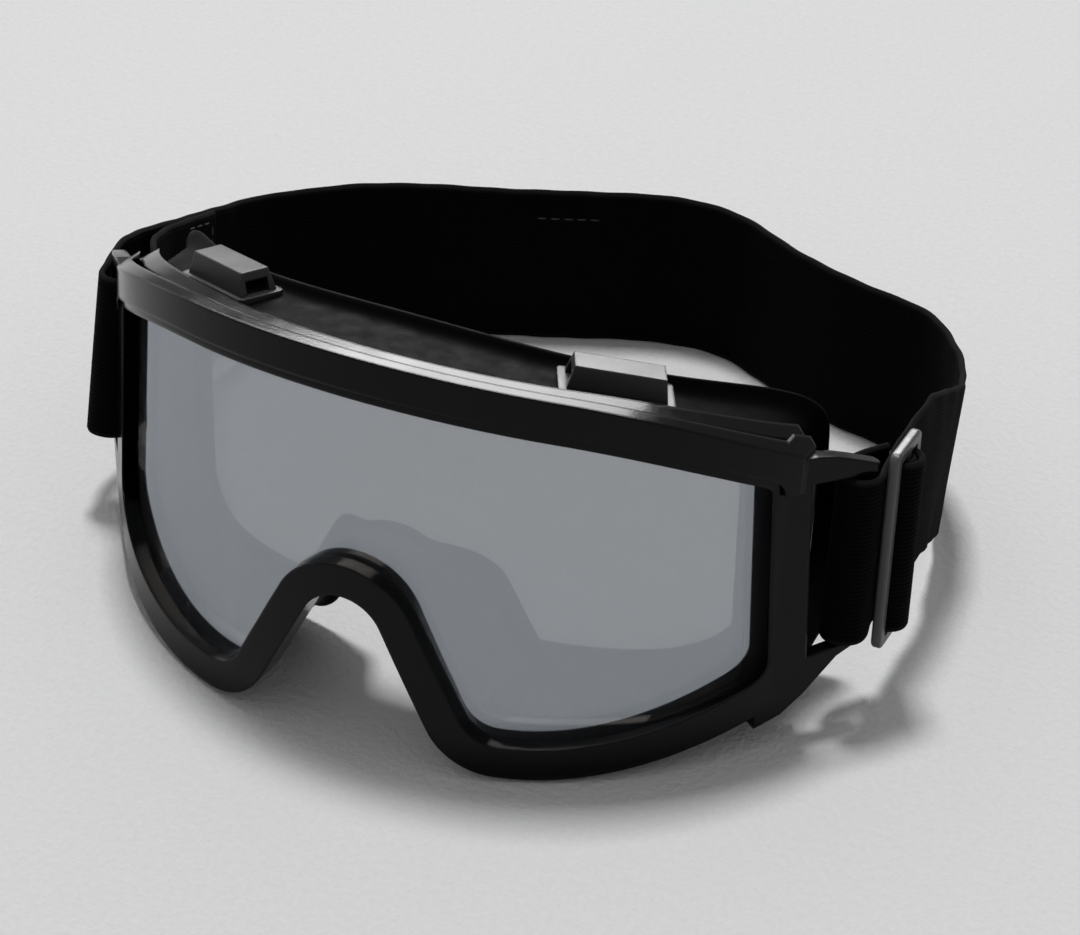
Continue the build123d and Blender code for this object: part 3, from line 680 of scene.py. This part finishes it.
# ---------------------------------------------------------------- soft skirt, swept round its outline
def arc_through(start, way, end, count):
    """Points on the arc from start to end that passes through way."""
    (ax, ay), (bx, by), (cx, cy) = start, way, end
    d = 2 * (ax * (by - cy) + bx * (cy - ay) + cx * (ay - by))
    a, b, c = ax * ax + ay * ay, bx * bx + by * by, cx * cx + cy * cy
    ux = (a * (by - cy) + b * (cy - ay) + c * (ay - by)) / d
    uy = (a * (cx - bx) + b * (ax - cx) + c * (bx - ax)) / d
    angles = [np.arctan2(p[1] - uy, p[0] - ux) for p in (start, way, end)]
    span = (angles[2] - angles[0]) % (2 * pi)
    if (angles[1] - angles[0]) % (2 * pi) > span:
        span -= 2 * pi
    return turned((ux, uy), np.hypot(ax - ux, ay - uy), angles[0], angles[0] + span, count)


def straight(start, end, count):
    """Points on a straight line."""
    start, end = np.array(start), np.array(end)
    return [tuple(start + (end - start) * t) for t in np.linspace(0, 1, count)]


def half_window():
    """Right half of the window's outline, from the middle of the top down to the top of the nose arch."""
    shoulder, corner = np.array(WINDOW_SHOULDER), np.array(WINDOW_CORNER)
    drop = WINDOW_TOP - shoulder[1]
    radius = (shoulder[0] ** 2 + drop ** 2) / (2 * drop)
    line = turned((0, WINDOW_TOP - radius), radius, pi / 2, pi / 2 - np.arcsin(shoulder[0] / radius), 30)
    heading = np.array((radius - drop, -shoulder[0])) / radius
    chord = corner - shoulder
    normal = np.array((heading[1], -heading[0]))
    bend = float(chord @ chord) / (2 * float(chord @ normal))
    centre = shoulder + normal * bend
    start = np.arctan2(*(shoulder - centre)[::-1])
    end = np.arctan2(*(corner - centre)[::-1])
    line += turned(centre, abs(bend), start, end, 30)[1:]
    line += straight(corner, SIDE_FOOT, 30)[1:]
    line += arc_through(SIDE_FOOT, CHEEK, INNER_FOOT, 50)[1:]
    nose = (0, NOSE_TOP - NOSE_R)
    reach = np.array(INNER_FOOT) - nose
    turn = np.arctan2(reach[1], reach[0]) + np.arccos(NOSE_R / np.linalg.norm(reach))
    line += straight(INNER_FOOT, turned(nose, NOSE_R, turn, turn, 1)[0], 20)[1:]
    line += turned(nose, NOSE_R, turn, pi / 2, 24)[1:]
    return line


def even_loop(loop, count):
    """A closed outline with its points at an even spacing."""
    loop = np.array(loop)
    closed = np.concatenate((loop, loop[:1]))
    along = length_along(closed)
    places = np.linspace(0, along[-1], count, endpoint=False)
    return np.array([np.interp(places, along, closed[:, k]) for k in range(2)]).T


def smooth_loop(loop, width):
    """A closed outline, rounded over about that many millimetres."""
    spacing = float(np.mean(np.linalg.norm(np.diff(loop, axis=0), axis=1)))
    reach = int(3 * width / spacing)
    weights = np.exp(-0.5 * (np.arange(-reach, reach + 1) * spacing / width) ** 2)
    weights /= weights.sum()
    result = np.zeros_like(loop)
    for shift, weight in zip(range(-reach, reach + 1), weights):
        result += np.roll(loop, -shift, axis=0) * weight
    return result


def loop_normals(loop):
    """Outward directions at each point of a closed outline."""
    ahead = np.roll(loop, -1, axis=0) - np.roll(loop, 1, axis=0)
    ahead /= np.linalg.norm(ahead, axis=1)[:, None]
    return np.stack((-ahead[:, 1], ahead[:, 0]), axis=1)


FLARE_X = 78.8          # the lip bows out to here at the temples, on an arc
FLARE_V = -6.0
FLARE_R = 66.0
FLARE_MOST = 8.0        # but the lip never stands out further than this
LIP_REACH = 2.25        # and this far elsewhere
LIP_BOTTOM = -34.6
LIP_THICK = 2.3
NOSE_BACK = 20.8        # the nose bridge ends this far behind the lens


def flare_at(v):
    """Half width of the lip's temple bulge at one height."""
    return FLARE_X - FLARE_R + sqrt(max(FLARE_R ** 2 - (v - FLARE_V) ** 2, 0))


right_half = half_window()
outline = right_half + [(-x, v) for x, v in reversed(right_half[1:-1])]
outline = smooth_loop(even_loop(outline, 720), 1.6)
outline = outline + loop_normals(outline) * SKIRT_GROW
outline[:, 0] = np.clip(outline[:, 0], -SKIRT_HALF, SKIRT_HALF)
outline[:, 1] = np.maximum(outline[:, 1], SKIRT_BOTTOM)
outline = smooth_loop(even_loop(outline, 720), 3.0)
outline = even_loop(outline, 540)
outward = loop_normals(outline)

face_x = np.linspace(-80, 80, 321)
face_points = curve_through([(-x, y) for x, y in reversed(FACE_CURVE[1:])] + list(FACE_CURVE), 0.5)
face_y = np.interp(face_x, face_points[:, 0], face_points[:, 1])

# section of wall and lip: distance out from the outline, share of the depth, and distance past it
profile = ((0.0, 0.0, 0), (0.0, 0.25, 0), (0.0, 0.5, 0), (0.0, 0.75, 0), (0.0, 0.93, 0), (0.35, 1.0, -2.3),
           (1.3, 1.0, -1.5), (2.1, 1.0, -1.0), (2.25, 1.0, -0.45), (1.7, 1.0, -0.05), (0.4, 1.0, 0.0),
           (-2.0, 1.0, 0.0), (-4.6, 1.0, -0.15), (-6.4, 1.0, -0.5), (-7.0, 1.0, -0.95), (-6.5, 1.0, -1.4),
           (-4.6, 1.0, -1.65), (-3.0, 1.0, -1.9), (-2.1, 1.0, -2.8), (-2.0, 0.9, 0), (-2.0, 0.6, 0),
           (-2.0, 0.3, 0), (-2.0, 0.0, 0))
points = []
for (x, v), (nx, nv) in zip(outline, outward):
    front = LENS_R - sqrt((LENS_R - RIM_BACK) ** 2 - min(abs(x), 76.0) ** 2) + 0.05
    notch = (1 - ease(5.0, 14.0, abs(x))) * (1 - ease(8.0, 14.0, v))
    reach = LIP_REACH
    while abs(x) > 56 and v < 22 and reach < FLARE_MOST:
        if abs(x + nx * reach) > flare_at(v + nv * reach) or v + nv * reach < LIP_BOTTOM:
            break
        reach += 0.1
    tuck = 1.0 + 0.6 * ease(50.0, 70.0, abs(x))
    for out, share, extra in profile:
        out = out * (1 - 0.6 * notch) if extra or out < -2.0 else out
        out = out * reach / LIP_REACH if out > 0 else out
        out = out * tuck if out < -3.5 else out
        rear = (float(np.interp(x + nx * out, face_x, face_y)) - (v + nv * out) * sin(LEAN)) / cos(LEAN)
        rear = rear * (1 - notch) + NOSE_BACK * notch
        depth = front + (rear - LIP_THICK - front) * share if share < 1 else rear + extra
        points.append(world(x + nx * out, depth, v + nv * out))
ring = len(profile)
faces = []
for i in range(len(outline)):
    j = (i + 1) % len(outline)
    for k in range(ring):
        m = (k + 1) % ring
        faces.append((i * ring + k, j * ring + k, j * ring + m, i * ring + m))
skirt = make_object("skirt_soft_shell", points, faces, rubber)
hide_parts("face_skirt")
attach(skirt, "goggles")

# ---------------------------------------------------------------- floor, light and camera
bpy.ops.mesh.primitive_plane_add(size=6.0, location=(0, 0, -0.0002))
floor = bpy.context.object
floor.name = "studio_floor"
floor.data.materials.append(pale_floor())


def panel(name, place_at, aim, width, height, power):
    """A soft rectangular light at one place, turned towards another."""
    light = bpy.data.lights.new(name, "AREA")
    light.shape = "RECTANGLE"
    light.size = width
    light.size_y = height
    light.energy = power
    lamp = bpy.data.objects.new(name, light)
    lamp.location = place_at
    direction = Vector(aim) - Vector(place_at)
    lamp.rotation_euler = direction.to_track_quat("-Z", "Y").to_euler()
    bpy.context.scene.collection.objects.link(lamp)
    return lamp


panel("key_overhead", (-0.19, 0.27, 2.0), (0, 0, 0), 0.3, 0.3, 25.0)
back_card = panel("back_card", (-0.42, 0.88, 0.80), (0, 0, 0.05), 1.0, 0.62, 32.0)
back_card.visible_diffuse = False
left_card = panel("left_card", (-1.1, 0.25, 0.35), (-0.05, 0, 0.05), 0.7, 0.7, 3.0)
left_card.visible_diffuse = False

world_light = bpy.data.worlds.new("studio")
world_light.use_nodes = True
world_light.node_tree.nodes["Background"].inputs["Color"].default_value = (1, 1, 1, 1)
world_light.node_tree.nodes["Background"].inputs["Strength"].default_value = 0.33
bpy.context.scene.world = world_light
bpy.context.scene.view_settings.view_transform = "Standard"

SENSOR = 36.0
FOCAL_SHARE = 3600.72 / 1080.0      # focal length as a share of the sensor's width
target = np.array((24.799, -49.872, 53.345))
azimuth, elevation, roll, distance = radians(25.569), radians(33.537), radians(1.257), 717.476
back = np.array((sin(azimuth) * cos(elevation), -cos(azimuth) * cos(elevation), sin(elevation)))
level_right = np.cross(-back, (0, 0, 1))
level_right /= np.linalg.norm(level_right)
level_up = np.cross(back, level_right)
right_axis = cos(roll) * level_right + sin(roll) * level_up
up_axis = -sin(roll) * level_right + cos(roll) * level_up
lens_data = bpy.data.cameras.new("camera")
lens_data.sensor_fit = "HORIZONTAL"
lens_data.sensor_width = SENSOR
lens_data.lens = SENSOR * FOCAL_SHARE
lens_data.clip_start = 0.01
lens_data.dof.use_dof = False
camera = bpy.data.objects.new("camera", lens_data)
eye = (target + back * distance) * MM
rows = [[right_axis[i], up_axis[i], back[i], eye[i]] for i in range(3)] + [[0, 0, 0, 1]]
camera.matrix_world = Matrix(rows)
bpy.context.scene.collection.objects.link(camera)
bpy.context.scene.camera = camera
